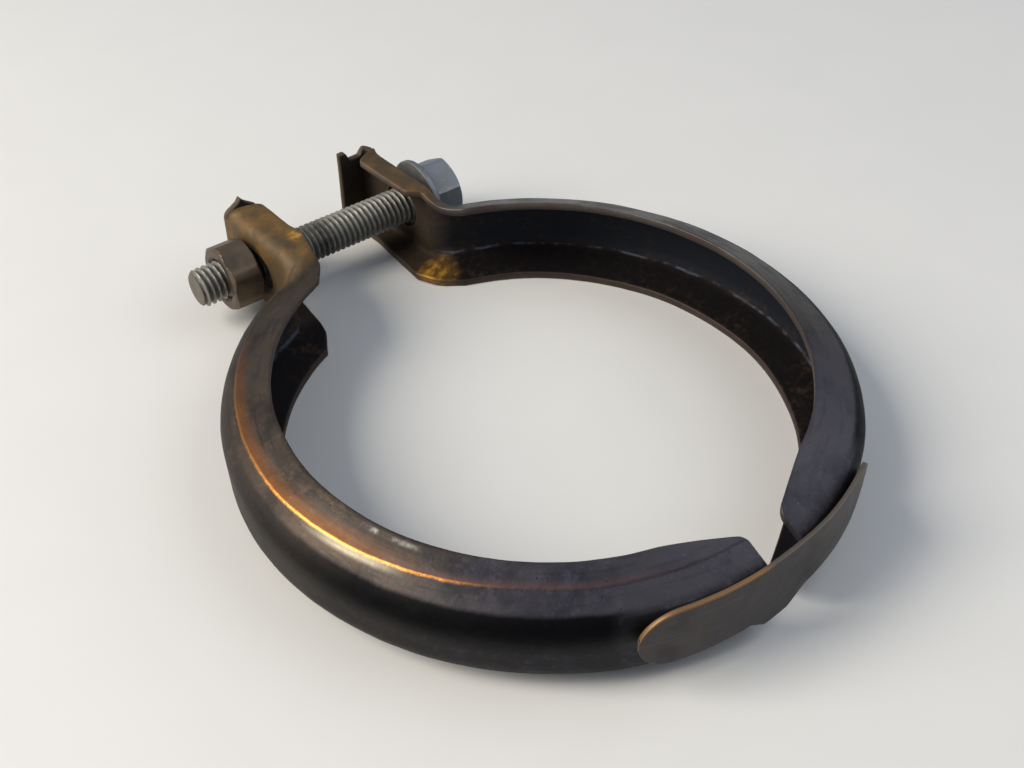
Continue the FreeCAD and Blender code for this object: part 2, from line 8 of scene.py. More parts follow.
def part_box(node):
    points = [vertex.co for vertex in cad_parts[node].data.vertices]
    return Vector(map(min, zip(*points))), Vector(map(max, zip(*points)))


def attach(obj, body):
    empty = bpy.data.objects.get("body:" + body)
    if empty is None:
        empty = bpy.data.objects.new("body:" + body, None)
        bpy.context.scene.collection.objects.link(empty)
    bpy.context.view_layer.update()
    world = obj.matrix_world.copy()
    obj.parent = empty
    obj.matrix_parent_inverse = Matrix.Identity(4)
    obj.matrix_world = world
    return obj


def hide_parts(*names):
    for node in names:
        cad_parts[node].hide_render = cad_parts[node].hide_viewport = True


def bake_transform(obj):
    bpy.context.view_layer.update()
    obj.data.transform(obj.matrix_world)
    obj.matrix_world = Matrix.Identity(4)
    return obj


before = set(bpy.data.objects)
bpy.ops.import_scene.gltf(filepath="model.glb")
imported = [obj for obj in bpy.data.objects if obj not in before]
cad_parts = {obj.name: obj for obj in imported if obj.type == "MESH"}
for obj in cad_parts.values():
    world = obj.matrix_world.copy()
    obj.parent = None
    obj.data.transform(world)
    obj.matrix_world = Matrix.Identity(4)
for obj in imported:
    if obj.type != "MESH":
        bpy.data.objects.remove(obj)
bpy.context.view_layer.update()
print("frame loaded:", ", ".join(sorted(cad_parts)))

mm = 0.001
noise.seed_set(11)   # noise vectors start from the clock without it


# a colour as a screen shows it, turned into light levels
def tone(levels):
    return tuple(((level / 255 + 0.055) / 1.055) ** 2.4 for level in levels)


# a socket that can stand in a sum
class Wire:
    def __init__(self, finish, socket):
        self.finish = finish
        self.socket = socket

    def sum(self, operation, *values):
        return self.finish.add("ShaderNodeMath", {"operation": operation}, dict(enumerate(values)))

    def __add__(self, other):
        return self.sum("ADD", self, other)

    __radd__ = __add__

    def __sub__(self, other):
        return self.sum("SUBTRACT", self, other)

    def __rsub__(self, other):
        return self.sum("SUBTRACT", other, self)

    def __mul__(self, other):
        return self.sum("MULTIPLY", self, other)

    __rmul__ = __mul__

    def angleTo(self, other):
        return self.sum("ARCTAN2", self, other)

    def root(self):
        return self.sum("SQRT", self)

    def size(self):
        return self.sum("ABSOLUTE", self)

    # 0 at start, 1 at end, smooth between them
    def rise(self, start, end):
        if start > end:
            return 1 - self.rise(end, start)
        values = {"Value": self, "From Min": start, "From Max": end}
        return self.finish.add("ShaderNodeMapRange", {"interpolation_type": "SMOOTHSTEP"}, values)

    # 1 at the place, 0 from that distance on
    def band(self, place, reach):
        return (self - place).size().rise(reach, 0.0)


# one material and the nodes behind it
class Finish:
    def __init__(self, name, metallic, roughness):
        self.material = bpy.data.materials.new(name)
        self.material.use_nodes = True
        self.tree = self.material.node_tree
        self.shader = self.tree.nodes["Principled BSDF"]
        self.feed(self.shader, {"Metallic": metallic, "Roughness": roughness})
        self.place = self.add("ShaderNodeTexCoord", output="Object")
        self.x, self.y, self.z = self.split(self.place)

    def feed(self, node, values):
        for key, value in values.items():
            socket = node.inputs[key]
            if isinstance(value, Wire):
                self.tree.links.new(value.socket, socket)
            elif socket.type == "RGBA":
                socket.default_value = (*value, 1)
            else:
                socket.default_value = value

    # any node: its type, its settings, then the values or links of its sockets
    def add(self, kind, settings=None, values=None, output=0):
        node = self.tree.nodes.new(kind)
        for key, value in (settings or {}).items():
            setattr(node, key, value)
        self.feed(node, values or {})
        return Wire(self, node.outputs[output])

    def split(self, vector):
        first = self.add("ShaderNodeSeparateXYZ", {}, {0: vector})
        return [Wire(self, socket) for socket in first.socket.node.outputs]

    def join(self, x, y, z):
        return self.add("ShaderNodeCombineXYZ", {}, {0: x, 1: y, 2: z})

    def mark(self, name):
        return self.add("ShaderNodeAttribute", {"attribute_name": name}, output="Fac")

    def noise(self, scale, detail=3.0, vector=None, roughness=0.5):
        values = {"Vector": vector or self.place, "Scale": scale, "Detail": detail, "Roughness": roughness}
        return self.add("ShaderNodeTexNoise", {}, values)

    def cells(self, scale, vector=None):
        return self.add("ShaderNodeTexVoronoi", {}, {"Vector": vector or self.place, "Scale": scale})

    def mix(self, colour, other, factor):
        return self.add("ShaderNodeMix", {"data_type": "RGBA"}, {0: factor, 6: colour, 7: other}, 2)

    # a screen colour laid over the coat, as strong as the factor says
    def dye(self, coat, levels, factor):
        return self.mix(coat, tone(levels), factor)

    def bump(self, height, distance, strength=1.0):
        return self.add("ShaderNodeBump", {}, {"Height": height, "Distance": distance, "Strength": strength})

    def wear(self, **values):
        self.feed(self.shader, {key.replace("_", " "): value for key, value in values.items()})
        return self.material


view = {
    "place": (-114.8, -122.6, 162.8),
    "aim": (4.95, 13.64, 0.0),
    "lens": 44.44,
    "sensor": 36,
}


def setCamera():
    camera = bpy.data.cameras.new("camera")
    camera.lens = view["lens"]
    camera.sensor_width = view["sensor"]
    camera.clip_start = 0.01
    holder = bpy.data.objects.new("camera", camera)
    bpy.context.scene.collection.objects.link(holder)
    holder.location = Vector(view["place"]) * mm
    holder.rotation_euler = (Vector(view["aim"]) * mm - holder.location).to_track_quat("-Z", "Y").to_euler()
    bpy.context.scene.camera = holder


studio = {
    "world": (0.66, 0.77, 0.98),
    "worldLevel": 0.38,
    "floor": (0.66, 0.635, 0.59),
    "floorShade": 0.96,        # the darker cloudy parts against the floor's own colour
    "floorClouds": 60.0,
    "floorSide": 3.0,
    "lamps": {
        "window": {
            "place": (-0.62, 0.30, 0.55), "size": (0.45, 0.60),
            "watts": 10.5, "colour": (1.0, 0.96, 0.89),
        },
        "room": {
            "place": (0.55, -0.35, 0.60), "size": (0.8, 0.8),
            "watts": 3.0, "colour": (0.9, 0.95, 1.0),
        },
    },
}


def setLamp(name, values):
    lamp = bpy.data.lights.new(name, "AREA")
    lamp.shape = "RECTANGLE"
    lamp.size, lamp.size_y = values["size"]
    lamp.energy = values["watts"]
    lamp.color = values["colour"]
    holder = bpy.data.objects.new(name, lamp)
    bpy.context.scene.collection.objects.link(holder)
    holder.location = values["place"]
    holder.rotation_euler = (-Vector(values["place"])).to_track_quat("-Z", "Y").to_euler()


def setStudio():
    world = bpy.data.worlds.new("studio")
    bpy.context.scene.world = world
    world.use_nodes = True
    sky = world.node_tree.nodes["Background"]
    sky.inputs["Color"].default_value = (*studio["world"], 1)
    sky.inputs["Strength"].default_value = studio["worldLevel"]
    for name, values in studio["lamps"].items():
        setLamp(name, values)
    side = studio["floorSide"]
    mesh = bpy.data.meshes.new("floor")
    corners = [(-side, -side, 0), (side, -side, 0), (side, side, 0), (-side, side, 0)]
    mesh.from_pydata(corners, [], [(0, 1, 2, 3)])
    floor = bpy.data.objects.new("floor", mesh)
    bpy.context.scene.collection.objects.link(floor)
    finish = Finish("floorTop", 0.0, 0.55)
    pale = studio["floor"]
    shade = tuple(studio["floorShade"] * share for share in pale)
    clouds = finish.noise(studio["floorClouds"])
    mesh.materials.append(finish.wear(Base_Color=finish.mix(pale, shade, clouds)))


bpy.context.scene.view_settings.view_transform = "Standard"
setCamera()
setStudio()
print("camera and studio set")


def clamp(value, low=0.0, high=1.0):
    return max(low, min(high, value))


def smooth(value, start, end):
    share = clamp((value - start) / (end - start))
    return share * share * (3 - 2 * share)


def steps(start, end, count):
    return [start + (end - start) * i / count for i in range(count + 1)]


# a skin through rows of points, closed across each row; caps join the row's two halves
def skin(name, rows, marks=None, capped=True, ring=False):
    wide = len(rows[0])
    points = [point * mm for row in rows for point in row]
    faces = []
    for i in range(len(rows) - (0 if ring else 1)):
        a, b = i * wide, (i + 1) % len(rows) * wide
        faces += [(a + j, a + (j + 1) % wide, b + (j + 1) % wide, b + j) for j in range(wide)]
    if capped:
        for start, flip in ((0, True), ((len(rows) - 1) * wide, False)):
            for j in range(wide // 2 - 1):
                quad = (start + j, start + j + 1, start + wide - 2 - j, start + wide - 1 - j)
                faces.append(quad[::-1] if flip else quad)
    mesh = bpy.data.meshes.new(name)
    mesh.from_pydata(points, [], faces)
    for mark, values in (marks or {}).items():
        mesh.attributes.new(mark, "FLOAT", "POINT").data.foreach_set("value", values)
    mesh.validate()
    mesh.shade_smooth()
    piece = bpy.data.objects.new(name, mesh)
    bpy.context.scene.collection.objects.link(piece)
    return piece


# pressed sheet seen in section: the middle line leaves the crown's centre,
# turns the shoulder and runs up the flange
class Section:
    def __init__(self, sheet, height, reach, slope, shoulder, flat=0.0):
        self.half = sheet / 2
        self.slope = math.radians(slope)
        self.radius = shoulder - self.half
        self.flat = flat
        self.reach = reach
        corner = height / 2 - (reach - self.half) * math.tan(self.slope) - self.half / math.cos(self.slope)
        turn = math.pi / 2 - self.slope
        self.tangent = self.radius * math.tan(turn / 2)
        self.crown = corner - self.tangent
        self.arc = self.radius * turn
        self.corner = corner

    # length along the middle line where it has gone that far inwards
    def lengthAt(self, depth):
        flange = (depth - self.half) / math.cos(self.slope) - self.tangent
        if flange >= 0:
            return self.crown + self.arc + flange
        return self.crown + self.radius * math.acos(clamp(1 - (depth - self.half) / self.radius, -1.0))

    # point and outward direction, both as (inwards, upwards)
    def at(self, length):
        if length < self.crown:
            point, out = (self.half, length), (-1.0, 0.0)
        elif length < self.crown + self.arc:
            turn = (length - self.crown) / self.radius
            out = (-math.cos(turn), math.sin(turn))
            point = (self.half + self.radius + self.radius * out[0], self.crown + self.radius * out[1])
        else:
            run = self.tangent + length - self.crown - self.arc
            point = (self.half + run * math.cos(self.slope), self.corner + run * math.sin(self.slope))
            out = (-math.sin(self.slope), math.cos(self.slope))
        flat = self.flat
        point = (point[0] * (1 - flat) + self.half * flat, point[1] * (1 - flat) + length * flat)
        out = Vector((out[0] * (1 - flat) - flat, out[1] * (1 - flat))).normalized()
        return point, out


edgeSteps = (0.0, 0.05, 0.14, 0.3, 0.8, 1.6)   # distances from a cut edge
squareReach = 2.0                              # from here inwards a cut edge stands square to its sheet


def edgeHalf(half, distance, rounding):
    short = clamp(1 - distance / rounding)
    return half - rounding * (1 - math.sqrt(1 - short ** 2))


# one row of a sheet's skin: outer face from the upper to the lower edge, then the inner face back
def sheetRow(place, inward, sections, upper, lower, endDistance, rounding, middle, across=22):
    inner, outer, reach = [], [], []
    total = upper + lower
    share = [d / total for d in edgeSteps]
    body = [share[-1] + (1 - 2 * share[-1]) * k / across for k in range(1, across)]
    for spot in share + body + [1 - s for s in reversed(share)]:
        length = upper - spot * total
        section = sections[0 if length >= 0 else -1]
        point, out = section.at(abs(length))
        sign = 1 if length >= 0 else -1
        edge = min(spot, 1 - spot) * total
        half = min(edgeHalf(section.half, edge, rounding), edgeHalf(section.half, endDistance, rounding))
        upright = half * math.tan(section.slope) * (1 - section.flat)
        upright *= 1 - smooth(edge, 0.0, squareReach)
        along = (-out[1], out[0])
        for side, points in ((1, outer), (-1, inner)):
            slide = -side * upright
            deep = point[0] + side * half * out[0] + slide * along[0]
            high = point[1] + side * half * out[1] + slide * along[1]
            points.append(place + inward * deep + Vector((0, 0, middle + sign * high)))
        reach.append(edge)
    return outer + inner[::-1], reach + reach[::-1]


# 0 on a row's outer face, 1 on its inner face
def insideMarks(rows):
    half = len(rows[0]) // 2
    return ([0.0] * half + [1.0] * half) * len(rows)


shell = {
    "freeEdge": 47.0,
    "crown": 56.5,
    "height": 19.3,
    "sheet": 1.5,
    "crownWidths": {"rear_shell": (9.3, 13.2), "front_shell": (12.8, 9.3)},
    "shoulder": 3.6,
    "tightShoulder": 0.62,     # of the shoulder's radius, near the strap
    "tightTo": (22.0, 38.0),   # and how far along the ring that eases off
    "halfGap": 3.9,
    "runOutAngle": 20.5,
    "runOut": 3.4,
    "endCorner": 1.3,
    "easing": 14.0,            # length in which the end's square cut turns into the ring's section
    "bend": 3.5,
    "earSlope": 4.0,
    "earShoulder": 2.4,
    "wallEnd": 74.6,
    "wallRounding": 3.4,
    "wallEdges": {
        "rear_shell": {
            "high": [(16.1, 48.2), (16.2, 54.6), (13.5, 56.6), (13.3, 69.9)],
            "low": [(14.6, 46.0), (13.2, 47.7), (12.3, 49.9), (11.6, 51.5), (13.3, 67.7)],
        },
        "front_shell": {
            "high": [(14.0, 48.2), (13.3, 50.9), (11.8, 59.9), (11.4, 72.0)],
            "low": [(13.3, 48.6), (12.6, 50.9), (10.4, 59.0), (11.0, 62.4), (10.9, 73.2)],
        },
    },
    "lipFace": 78.0,
    "lipBend": 2.5,
    "lipLength": 8.1,
    "lipHalf": 9.35,
    "horn": 1.4,
    "notchDepth": 2.0,
    "notchWidth": 5.0,
    "notchRamp": 1.3,
    "peakDrop": 0.5,
    "fall": 14.0,
    "knob": 4.7,
    "knobSlopes": (0.55, 0.72),
    "knobDrop": 0.35,
    "knobTip": 0.5,
    "slots": {"rear_shell": (64.4, 10.2, 9.2), "front_shell": (66.6, 13.4, 9.2)},   # place, length, width
    "cutReach": (4.0, 3.0),    # how far the slot's cutter goes to either side of the ear
    "edgeRounding": 0.32,
    "faces": {"rear_shell": 19.4, "front_shell": 18.0},
    "sharp": 50,
}

endSteps = (0.0, 0.04, 0.12, 0.25, 0.45, 0.7, 1.0, 1.3, 1.7, 2.2, 3.0)   # from the end at the strap
cornerSteps = (0.15, 0.3, 0.45, 0.6, 0.72, 0.82, 0.9)                   # shares of the walls' rounded end
lipSteps = (1.5, 1.2, 0.9, 0.6, 0.3, 0.14, 0.05, 0.0)                   # from the lip's cut edge


# where a ray from the crown's outer face meets the trimmed edge, in plan
def trimDepth(place, inward, line):
    best = None
    for (ax, ay), (bx, by) in zip(line, line[1:]):
        dx, dy = bx - ax, by - ay
        cross = inward.x * dy - inward.y * dx
        if abs(cross) < 1e-9:
            continue
        along = ((ax - place.x) * dy - (ay - place.y) * dx) / cross
        spot = ((ax - place.x) * inward.y - (ay - place.y) * inward.x) / cross
        if -1e-6 <= spot <= 1 + 1e-6 and along > 0 and (best is None or along < best):
            best = along
    return best


# half width of the lip's plate at a depth from the ear's outer face
def lipHalf(depth, side="high"):
    top = shell["lipHalf"]
    if side == "low":
        off = depth - shell["knob"]
        rise, fall = shell["knobSlopes"]
        lost = fall * off if off > 0 else -rise * off
        tip = shell["knobTip"]
        return top - shell["knobDrop"] - lost + tip * math.exp(-(off / tip) ** 2)
    floor = top - shell["notchDepth"]
    horn = shell["lipLength"] - shell["horn"]
    peak = horn - shell["notchWidth"]
    if depth < peak:
        return top - shell["peakDrop"] - (peak - depth) * math.tan(math.radians(shell["fall"]))
    ramp, drop = shell["notchRamp"], shell["peakDrop"]
    falling = top - drop - smooth(depth, peak, peak + ramp) * (shell["notchDepth"] - drop)
    rising = floor + smooth(depth, horn - ramp, horn + 0.05) * shell["notchDepth"]
    return max(falling if depth < (peak + horn) / 2 else floor, rising)


# every place along a shell where its section is laid: the ring, the bend, the ear and the lip
def shellStations(node):
    face = shell["faces"][node]
    crown, bend = shell["crown"], shell["bend"]
    centre = Vector((face + bend, math.sqrt((crown + bend) ** 2 - (face + bend) ** 2), 0))
    turned = math.asin(centre.x / (crown + bend))
    start = math.asin(shell["halfGap"] / crown)
    reach = crown - shell["freeEdge"]
    sides = ("high", "low")
    out = []

    def station(place, inward, depths, **more):
        plain = {"end": 99.0, "share": 1.0, "flat": 0.0}
        out.append({"place": place, "inward": inward, "depths": depths, **plain, **more})

    # the ring, from the strap to the bend; its free edge runs out towards the strap
    runOut = math.radians(shell["runOutAngle"])
    free = shell["freeEdge"]
    near = (free * math.sin(runOut), -free * math.cos(runOut))
    gap = shell["halfGap"]
    deep = (gap, -math.sqrt((free + shell["runOut"]) ** 2 - gap ** 2))
    beyond = (deep[0] - 4, deep[1] - 4 * (near[1] - deep[1]) / (near[0] - deep[0]))
    rounding = shell["endCorner"]
    angles = [start + d / crown for d in endSteps]
    angles += steps(angles[-1], math.pi - turned, 120)[1:]
    for angle in angles:
        away = crown * (angle - start)
        lean = angle * smooth(away, 0.0, shell["easing"])
        inward = Vector((-math.sin(lean), math.cos(lean), 0))
        place = Vector((math.sin(angle), -math.cos(angle), 0)) * crown
        depth = reach
        if angle < runOut:
            depth = trimDepth(place, inward, [near, deep, beyond])
        if away < rounding:
            depth -= rounding - math.sqrt(rounding ** 2 - (rounding - away) ** 2)
        station(place, inward, (depth, depth), end=away, share=0.0)

    # the bend into the ear, then the ear's channel with its trimmed walls
    ringEnd = (free * math.sin(turned), free * math.cos(turned))
    lines = []
    for side in sides:
        edges = shell["wallEdges"][node][side]
        lines.append([ringEnd, *edges, (edges[-1][0], edges[-1][1] + 20)])
    for share in steps(0.0, 1.0, 30)[1:]:
        turn = turned + (math.pi / 2 - turned) * share
        inward = Vector((-math.sin(turn), -math.cos(turn), 0))
        place = centre + inward * bend
        depths = [min(trimDepth(place, inward, line) or reach, reach) for line in lines]
        station(place, inward, depths, share=share)
    wallEnd, rounding = shell["wallEnd"], shell["wallRounding"]
    lipStart = shell["lipFace"] - shell["lipBend"]
    places = steps(centre.y, wallEnd - rounding, 30)[1:]
    places += [wallEnd - rounding * (1 - d) for d in cornerSteps]
    places += steps(wallEnd - 0.1, lipStart, 4)
    inward = Vector((-1, 0, 0))
    for spot in places:
        place = Vector((face, spot, 0))
        past = clamp(spot - (wallEnd - rounding), 0.0, rounding)
        trim = rounding - math.sqrt(rounding ** 2 - past ** 2)
        depths = [trimDepth(place, inward, line) - trim for line in lines]
        halves = [lipHalf(shell["sheet"] / 2, side) for side in sides]
        station(place, inward, depths, flat=smooth(spot, wallEnd - 2.2, lipStart), halves=halves)

    # the lip turned over at the ear's end
    radius = shell["lipBend"]
    hub = Vector((face - radius, lipStart, 0))
    for turn in steps(0.0, math.pi / 2, 12)[1:]:
        away = Vector((math.cos(turn), math.sin(turn), 0))
        middle = radius - (radius - shell["sheet"] / 2) * math.cos(turn)
        halves = [lipHalf(middle, side) for side in sides]
        station(hub + away * radius, -away, (0, 0), flat=1.0, halves=halves)
    length = shell["lipLength"]
    inward = Vector((0, -1, 0))
    for depth in steps(radius, length - 1.8, 22)[1:] + [length - d for d in lipSteps]:
        place = Vector((face - depth, shell["lipFace"], 0))
        halves = [lipHalf(depth, side) for side in sides]
        station(place, inward, (0, 0), end=length - depth, flat=1.0, halves=halves)
    return out


dents = {"wide": (14.0, 0.16), "fine": (3.2, 0.035)}   # size and height of each kind


# dents and waves left by pressing and use
def worn(point, seed, strength):
    shift = Vector((seed * 17.0, seed * 5.0, 0))
    moved = [noise.noise_vector(point / size + shift) * height for size, height in dents.values()]
    return point + (moved[0] + moved[1]) * strength


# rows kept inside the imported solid's own box, so that nothing stands out of it
def boxed(rows, low, high):
    bounds = [(low[k] / mm, high[k] / mm) for k in range(3)]
    return [[Vector([clamp(p[k], *bounds[k]) for k in range(3)]) for p in row] for row in rows]


def pressedShell(node, home, seed, turnedOver):
    face = shell["faces"][node]
    middle = shell["height"] / 2
    reach = shell["crown"] - shell["freeEdge"]
    rows, edges = [], []
    travelled, last = 0.0, None
    for station in shellStations(node):
        share = station["share"]
        shoulder = shell["shoulder"] + (shell["earShoulder"] - shell["shoulder"]) * share
        tight = shell["tightShoulder"]
        shoulder *= tight + (1 - tight) * smooth(travelled, *shell["tightTo"])
        flat = station["flat"]
        sections = []
        for crownWidth in shell["crownWidths"][node]:
            ringSlope = math.degrees(math.atan((shell["height"] - crownWidth) / 2 / reach))
            slope = ringSlope + (shell["earSlope"] - ringSlope) * share
            sections.append(Section(shell["sheet"], shell["height"], reach, slope, shoulder, flat))
        upper, lower = station.get("halves", (0, 0))
        if flat < 1:
            high, low = (section.lengthAt(depth) for section, depth in zip(sections, station["depths"]))
            upper = high * (1 - flat) + upper * flat
            lower = low * (1 - flat) + lower * flat
        place, inward = station["place"], station["inward"]
        end, rounding = station["end"], shell["edgeRounding"]
        row, edge = sheetRow(place, inward, sections, upper, lower, end, rounding, middle)
        travelled += (place - last).length if last else 0.0
        last = place
        rows.append(row)
        edges += edge
    if turnedOver:
        rows = [[Vector((-p.x, p.y, shell["height"] - p.z)) for p in row] for row in rows]
    low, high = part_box(node)
    rows = boxed([[worn(p, seed, 1.0) for p in row] for row in rows], low, high)
    piece = skin(node + ".pressed", rows, {"edge": edges, "inside": insideMarks(rows)})
    cutSlot(piece, -1 if turnedOver else 1, face, shell["slots"][node])
    piece.data.set_sharp_from_angle(angle=math.radians(shell["sharp"]))
    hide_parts(node)
    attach(piece, home)
    print(node, "pressed:", len(piece.data.polygons), "faces")
    return piece


# the long hole that the screw passes through
def cutSlot(piece, side, face, slot):
    place, length, width = slot
    straight, radius = (length - width) / 2, width / 2
    turns = steps(-math.pi / 2, math.pi / 2, 20)
    outline = [(place + straight + radius * math.cos(a), radius * math.sin(a)) for a in turns]
    outline += [(place - straight - radius * math.cos(a), -radius * math.sin(a)) for a in turns]
    within, beyond = shell["cutReach"]
    ends = [side * (face - within), side * (face + beyond)]
    if side < 0:
        ends.reverse()
    middle = shell["height"] / 2
    points = [Vector((x, y, middle + z)) * mm for x in ends for y, z in outline]
    count = len(outline)
    faces = [(j, (j + 1) % count, count + (j + 1) % count, count + j) for j in range(count)]
    faces += [tuple(range(count))[::-1], tuple(range(count, 2 * count))]
    mesh = bpy.data.meshes.new("slotCutter")
    mesh.from_pydata(points, [], faces)
    cutter = bpy.data.objects.new("slotCutter", mesh)
    bpy.context.scene.collection.objects.link(cutter)
    hole = piece.modifiers.new("slot", "BOOLEAN")
    hole.object = cutter
    hole.operation = "DIFFERENCE"
    hole.solver = "EXACT"
    shaped = bpy.data.meshes.new_from_object(piece.evaluated_get(bpy.context.evaluated_depsgraph_get()))
    piece.modifiers.clear()
    piece.data = shaped
    bpy.data.objects.remove(cutter)


strap = {
    "sheet": 0.8,
    "gap": 0.4,
    "front": -28.3,
    "rear": 24.6,
    "low": 6.6,
    "high": 18.9,
    "corner": 6.0,
    "lift": 3.0,
    "tab": ((-9.0, 6.6), (-5.6, 4.3), (-0.3, 4.3), (3.6, 6.6)),
    "edgeRounding": 0.2,
    "wear": 0.7,
    "pastSolid": 1.1,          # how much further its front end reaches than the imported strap
    "blend": (5.0, -5.0),
    "blendLine": -57.0,
}


# outer face of the strap in plan, at a place across the clamp:
# two seated arcs and the flatter free one between
def strapPlace(x):
    seat = shell["crown"] + strap["gap"]
    thick = strap["sheet"]
    gap = 2 * shell["halfGap"]
    free = gap / (gap / seat - math.radians(strap["lift"]))
    rearTurn = math.asin(shell["halfGap"] / seat)
    hub = Vector((math.sin(rearTurn), -math.cos(rearTurn), 0)) * (seat - free)
    frontTurn = math.asin((-shell["halfGap"] - hub.x) / free)
    frontHub = hub + Vector((math.sin(frontTurn), -math.cos(frontTurn), 0)) * (free - seat)
    if x > shell["halfGap"]:
        centre, radius = Vector((0, 0, 0)), seat + thick
    elif x > -shell["halfGap"]:
        centre, radius = hub, free + thick
    else:
        centre, radius = frontHub, seat + thick
    turn = math.asin((x - centre.x) / radius)
    outward = Vector((math.sin(turn), -math.cos(turn), 0))
    return centre + outward * radius, -outward


# the strap's lower edge, which dips to the tab
def tabLow(x):
    low = strap["low"]
    for (ax, az), (bx, bz) in zip(strap["tab"], strap["tab"][1:]):
        if ax <= x <= bx:
            low = az + (bz - az) * (x - ax) / (bx - ax)
    return low


def hingeStrap():
    corner = strap["corner"]
    front, rear = strap["front"], strap["rear"]
    turns = steps(math.pi / 2, 0.0, 22)
    places = [front + corner - corner * math.sin(a) for a in turns]
    places += steps(front + corner, rear - corner, 90)[1:-1]
    places += [rear - corner + corner * math.sin(a) for a in reversed(turns)]
    middle = (strap["low"] + strap["high"]) / 2
    rows, edges = [], []
    for x in places:
        away = min(x - front, rear - x)
        trim = corner - math.sqrt(max(0.0, corner ** 2 - max(0.0, corner - away) ** 2))
        upper = strap["high"] - middle - trim
        lower = middle - tabLow(x) - trim
        section = Section(strap["sheet"], 2 * upper, 2.0, 0.0, 1.0, 1.0)
        place, inward = strapPlace(x)
        row, edge = sheetRow(place, inward, [section], upper, lower, away, strap["edgeRounding"], middle)
        rows.append([worn(point, 3.0, strap["wear"]) for point in row])
        edges += edge
    low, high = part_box("hinge_strap")
    low[0] -= strap["pastSolid"] * mm
    piece = skin("hinge_strap.spring", boxed(rows, low, high), {"edge": edges})
    piece.data.set_sharp_from_angle(angle=math.radians(shell["sharp"]))
    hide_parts("hinge_strap")
    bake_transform(piece)
    print("hinge strap bent:", len(piece.data.polygons), "faces")
    return piece


screw = {
    "seat": (21.8, 64.45, 9.65),
    "skew": 3.6,
    "length": 52.6,
    "pitch": 1.25,
    "crest": 3.96,
    "root": 3.24,
    "threadRows": 11,          # rows of points in one turn of thread
    "threadRun": (0.05, 0.35),   # kept clear of the tip and of the flange
    "valley": 0.22,            # share of the pitch's wave that stays at the root
    "flank": 0.62,
    "neck": 1.6,
    "neckHeight": 0.86,
    "tip": ((0.12, 0.01), (0.1, 1.1), (0.0, 1.5), (0.0, 2.9)),   # in from the tip, radius
    "collar": ((-0.08, 4.02), (0.0, 4.4)),
    "tipChamfer": 0.75,
    "flangeRadius": 8.5,
    "flangeRim": 1.2,
    # along the axis, and in from the flange's radius
    "rimEdge": ((0.0, 0.5), (0.02, 0.22), (0.12, 0.05), (0.3, 0.0), (0.95, 0.0), (1.14, 0.07), (1.28, 0.25)),
    "cone": (0.8, 1.2),
    "coneAngle": 24.0,
    "across": 13.0,
    "foot": ((0.0, 0.35), (0.1, 0.16), (0.25, 0.05)),   # up from the cone, out from the hexagon
    "headHeight": 8.1,
    "headRows": (3.2, 4.4, 5.6, 6.4, 6.9, 7.15, 7.35, 7.5, 7.64, 7.78, 7.9, 8.0, 8.06),
    "dishRadius": 4.3,
    "dish": 0.6,
    "softening": 0.1,
    "chamferRadius": 6.15,
    "chamferAngle": 30.0,
    "around": 96,
    "sharp": 38,
}

nut = {
    "height": 6.5,
    "face": -40.76,            # its face at the ear, along the screw's axis
    "bore": 4.04,
    "mouth": 4.7,
    "seat": 4.9,
    "land": 5.8,
    "chamferRadius": 6.05,
    "softening": 0.52,
    "cornerRows": (0.0, 0.03, 0.08, 0.16, 0.26, 0.38, 0.5, 0.64, 0.8, 0.95),   # from either face
    "sharp": 24,
}


# a round row about the screw's axis; the radius may change with the angle
def turnedRow(along, radius):
    lean = math.radians(screw["skew"])
    axis = Vector((math.cos(lean), -math.sin(lean), 0))
    side = axis.cross(Vector((0, 0, 1)))
    row = []
    for k in range(screw["around"]):
        angle = 2 * math.pi * k / screw["around"]
        reach = radius(angle) if callable(radius) else radius
        outward = Vector((0, 0, math.cos(angle))) + side * math.sin(angle)
        row.append(Vector(screw["seat"]) + axis * along + outward * reach)
    return row


# a hexagon's radius at each angle, its corners cut by the chamfer and softened by wear
def hexRadius(limit, softening=screw["softening"]):
    flat = screw["across"] / 2
    softened = flat / math.cos(math.radians(30)) - softening

    def radius(angle):
        return min(limit, softened, flat / math.cos(angle % (math.pi / 3) - math.pi / 6))
    return radius


def chamferLimit(away, rim=screw["chamferRadius"]):
    return rim + away / math.tan(math.radians(screw["chamferAngle"]))


# the thread's radius at a place along the screw: a wave that climbs with the angle
def threadRadius(along):
    pitch, root, crest = screw["pitch"], screw["root"], screw["crest"]
    tip = along + screw["length"]
    limit = crest - screw["tipChamfer"] + tip
    fade = smooth(along, -2 * screw["neck"], -screw["neck"])

    def radius(angle):
        phase = (along / pitch - angle / (2 * math.pi)) % 1
        wave = 1 - 2 * abs(phase - 0.5)
        height = clamp((wave - screw["valley"]) / screw["flank"])
        height = height * (1 - fade) + screw["neckHeight"] * fade
        return min(limit, root + (crest - root) * height)
    return radius


